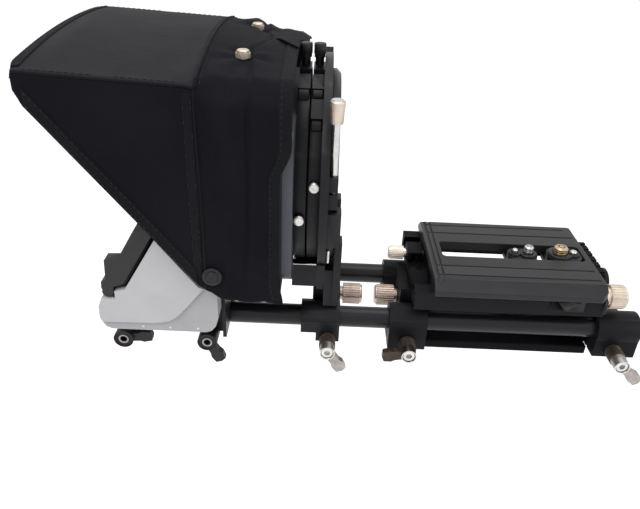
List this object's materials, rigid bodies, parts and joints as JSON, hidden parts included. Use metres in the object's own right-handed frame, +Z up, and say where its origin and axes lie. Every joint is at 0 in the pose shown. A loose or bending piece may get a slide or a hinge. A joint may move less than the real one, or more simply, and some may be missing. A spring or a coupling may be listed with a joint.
{
  "type": "teleprompter with rod mount",
  "caption": "Through-the-glass teleprompter: fabric hood, sloping mirror, fold-open front flap and matte box stage on twin rods with a sliding camera plate.",
  "frame": {"origin": "mouth of the quarter-inch tripod socket on the underside of the base plate", "axes": "+X from the talent's side towards the camera's end along the rods, +Y to the camera operator's right, +Z up"},
  "size_m": [0.3911, 0.1636, 0.2135],
  "materials": {
    "black_anodised": "satin black anodised",
    "grey_frame": "satin dark grey",
    "steel": "brushed",
    "champagne": "knurled champagne anodised",
    "grey_plastic": "fine matte light grey",
    "black_plastic": "matte black",
    "hood_cloth": "light-tight black cloth",
    "splitter_glass": "half-silvered"
  },
  "bodies": {
    "base": {"base_plate": "black_anodised", "base_screws": "steel", "front_rod_clamp": "black_anodised", "rear_rod_clamp": "black_anodised", "plate_receiver": "black_anodised", "base_draw_bolts": "steel"},
    "rods": {"support_rods": "black_anodised"},
    "prompter": {"prompter_front_clamp": "black_anodised", "prompter_rear_clamp": "black_anodised", "prompter_draw_bolts": "steel", "body_tub": "grey_plastic", "tub_screws": "steel", "left_side_panel": "grey_plastic", "right_side_panel": "grey_plastic", "device_tray": "black_plastic", "flap_hinge_pin": "steel", "mirror_frame": "black_anodised", "beam_splitter_glass": "splitter_glass", "mirror_clips": "black_plastic", "frame_screws": "steel", "hood_fabric": "hood_cloth", "hood_snaps": "black_plastic"},
    "stage": {"matte_box_foot": "black_anodised", "foot_draw_bolt": "steel", "stage_upright": "black_anodised", "stage_screws": "steel", "rear_plate": "black_anodised", "front_filter_stage": "black_anodised", "rear_filter_stage": "black_anodised", "stage_front_frame": "grey_frame", "lens_clamp_ring": "black_anodised", "shroud_box": "black_anodised", "hood_sleeve": "hood_cloth"},
    "camera_plate": {"camera_plate": "black_anodised"},
    "rear_carriage": {"rear_screw_carriage": "black_anodised"},
    "front_carriage": {"front_screw_carriage": "black_anodised"},
    "rear_screw": {"rear_camera_screw": "champagne"},
    "front_screw": {"front_camera_screw": "steel"},
    "rear_pin": {"rear_locating_pin": "steel"},
    "front_pin": {"front_locating_pin": "steel"},
    "front_plate_knob": {"front_plate_lock_knob": "champagne"},
    "rear_plate_knob": {"rear_plate_lock_knob": "champagne"},
    "base_knob": {"base_lock_knob": "black_anodised"},
    "foot_knob": {"foot_lock_knob": "black_anodised"},
    "base_front_lever": {"base_front_lever": "steel"},
    "base_rear_lever": {"base_rear_lever": "steel"},
    "foot_lever": {"foot_lever": "steel"},
    "prompter_front_lever": {"prompter_front_lever": "black_plastic"},
    "prompter_rear_lever": {"prompter_rear_lever": "black_plastic"},
    "front_carrier": {"front_filter_carrier": "black_anodised"},
    "rear_carrier": {"rear_filter_carrier": "black_anodised"},
    "front_lock_pin": {"front_stage_lock_pin": "steel"},
    "rear_lock_pin": {"rear_stage_lock_pin": "steel"},
    "front_top_lock": {"front_stage_top_lock": "champagne"},
    "rear_top_lock": {"rear_stage_top_lock": "champagne"},
    "ring_screw": {"ring_clamp_screw": "steel"},
    "flap": {"front_flap": "black_plastic"},
    "left_hood_screw": {"left_hood_screw": "steel"},
    "right_hood_screw": {"right_hood_screw": "steel"}
  },
  "joints": [
    {"name": "rods_slide", "type": "slide", "parent": "base", "child": "rods", "axis": [1, 0, 0], "range_m": [-0.015, 0.002]},
    {"name": "stage_slide", "type": "slide", "parent": "rods", "child": "stage", "axis": [1, 0, 0], "range_m": [-0.003, 0.002]},
    {"name": "prompter_slide", "type": "slide", "parent": "stage", "child": "prompter", "axis": [1, 0, 0], "range_m": [-0.006, 0.003]},
    {"name": "camera_plate_slide", "type": "slide", "parent": "base", "child": "camera_plate", "axis": [1, 0, 0], "range_m": [-0.04, 0]},
    {"name": "rear_carriage_slide", "type": "slide", "parent": "camera_plate", "child": "rear_carriage", "axis": [1, 0, 0], "range_m": [-0.005, 0]},
    {"name": "front_carriage_slide", "type": "slide", "parent": "camera_plate", "child": "front_carriage", "axis": [1, 0, 0], "range_m": [-0.046, 0]},
    {"name": "rear_screw_turn", "type": "hinge", "parent": "rear_carriage", "child": "rear_screw", "pos_m": [0.074, 0, 0.062], "axis": [0, 0, 1], "continuous": true},
    {"name": "front_screw_turn", "type": "hinge", "parent": "front_carriage", "child": "front_screw", "pos_m": [0.051, 0, 0.062], "axis": [0, 0, 1], "continuous": true},
    {"name": "rear_pin_press", "type": "slide", "parent": "rear_carriage", "child": "rear_pin", "axis": [0, 0, 1], "range_m": [-0.003, 0], "stiffness_N_per_m": 400, "springref_m": 0.001},
    {"name": "front_pin_press", "type": "slide", "parent": "front_carriage", "child": "front_pin", "axis": [0, 0, 1], "range_m": [-0.003, 0], "stiffness_N_per_m": 400, "springref_m": 0.001},
    {"name": "front_plate_knob_turn", "type": "hinge", "parent": "base", "child": "front_plate_knob", "pos_m": [-0.04, 0.0205, 0.0475], "axis": [1, 0, 0], "continuous": true},
    {"name": "rear_plate_knob_turn", "type": "hinge", "parent": "base", "child": "rear_plate_knob", "pos_m": [0.106, -0.03, 0.048], "axis": [1, 0, 0], "continuous": true},
    {"name": "base_knob_turn", "type": "hinge", "parent": "base", "child": "base_knob", "pos_m": [-0.05, 0, 0.022], "axis": [1, 0, 0], "continuous": true},
    {"name": "foot_knob_turn", "type": "hinge", "parent": "stage", "child": "foot_knob", "pos_m": [-0.072, 0, 0.022], "axis": [1, 0, 0], "continuous": true},
    {"name": "base_front_lever_turn", "type": "hinge", "parent": "base", "child": "base_front_lever", "pos_m": [-0.0352, -0.05, 0.0105], "axis": [0, -1, 0], "range_deg": [-60, 60]},
    {"name": "base_rear_lever_turn", "type": "hinge", "parent": "base", "child": "base_rear_lever", "pos_m": [0.11, -0.05, 0.0105], "axis": [0, -1, 0], "range_deg": [-60, 60]},
    {"name": "foot_lever_turn", "type": "hinge", "parent": "stage", "child": "foot_lever", "pos_m": [-0.0913, -0.05, 0.0105], "axis": [0, -1, 0], "range_deg": [-60, 60]},
    {"name": "prompter_front_lever_turn", "type": "hinge", "parent": "prompter", "child": "prompter_front_lever", "pos_m": [-0.2315, -0.048, 0.0116], "axis": [0, -1, 0], "range_deg": [-60, 50]},
    {"name": "prompter_rear_lever_turn", "type": "hinge", "parent": "prompter", "child": "prompter_rear_lever", "pos_m": [-0.174, -0.048, 0.0116], "axis": [0, -1, 0], "range_deg": [-60, 25]},
    {"name": "front_carrier_turn", "type": "hinge", "parent": "stage", "child": "front_carrier", "pos_m": [-0.113, 0, 0.124], "axis": [1, 0, 0], "continuous": true},
    {"name": "rear_carrier_turn", "type": "hinge", "parent": "stage", "child": "rear_carrier", "pos_m": [-0.105, 0, 0.124], "axis": [1, 0, 0], "continuous": true},
    {"name": "front_lock_pin_slide", "type": "slide", "parent": "stage", "child": "front_lock_pin", "axis": [0, -1, 0], "range_m": [0, 0.004]},
    {"name": "rear_lock_pin_slide", "type": "slide", "parent": "stage", "child": "rear_lock_pin", "axis": [0, -1, 0], "range_m": [0, 0.004]},
    {"name": "front_top_lock_turn", "type": "hinge", "parent": "stage", "child": "front_top_lock", "pos_m": [-0.1124, 0, 0.195], "axis": [0, 0, 1], "continuous": true},
    {"name": "rear_top_lock_turn", "type": "hinge", "parent": "stage", "child": "rear_top_lock", "pos_m": [-0.1041, 0, 0.195], "axis": [0, 0, 1], "continuous": true},
    {"name": "ring_screw_turn", "type": "hinge", "parent": "stage", "child": "ring_screw", "pos_m": [-0.09295, -0.063, 0.16], "axis": [0, 0, 1], "continuous": true},
    {"name": "flap_fold", "type": "hinge", "parent": "prompter", "child": "flap", "pos_m": [-0.231, 0, 0.061], "axis": [0, -1, 0], "range_deg": [0, 80]},
    {"name": "left_hood_screw_turn", "type": "hinge", "parent": "stage", "child": "left_hood_screw", "pos_m": [-0.1465, -0.04, 0.203], "axis": [0, 0, 1], "continuous": true},
    {"name": "right_hood_screw_turn", "type": "hinge", "parent": "stage", "child": "right_hood_screw", "pos_m": [-0.1465, 0.04, 0.203], "axis": [0, 0, 1], "continuous": true}
  ]
}
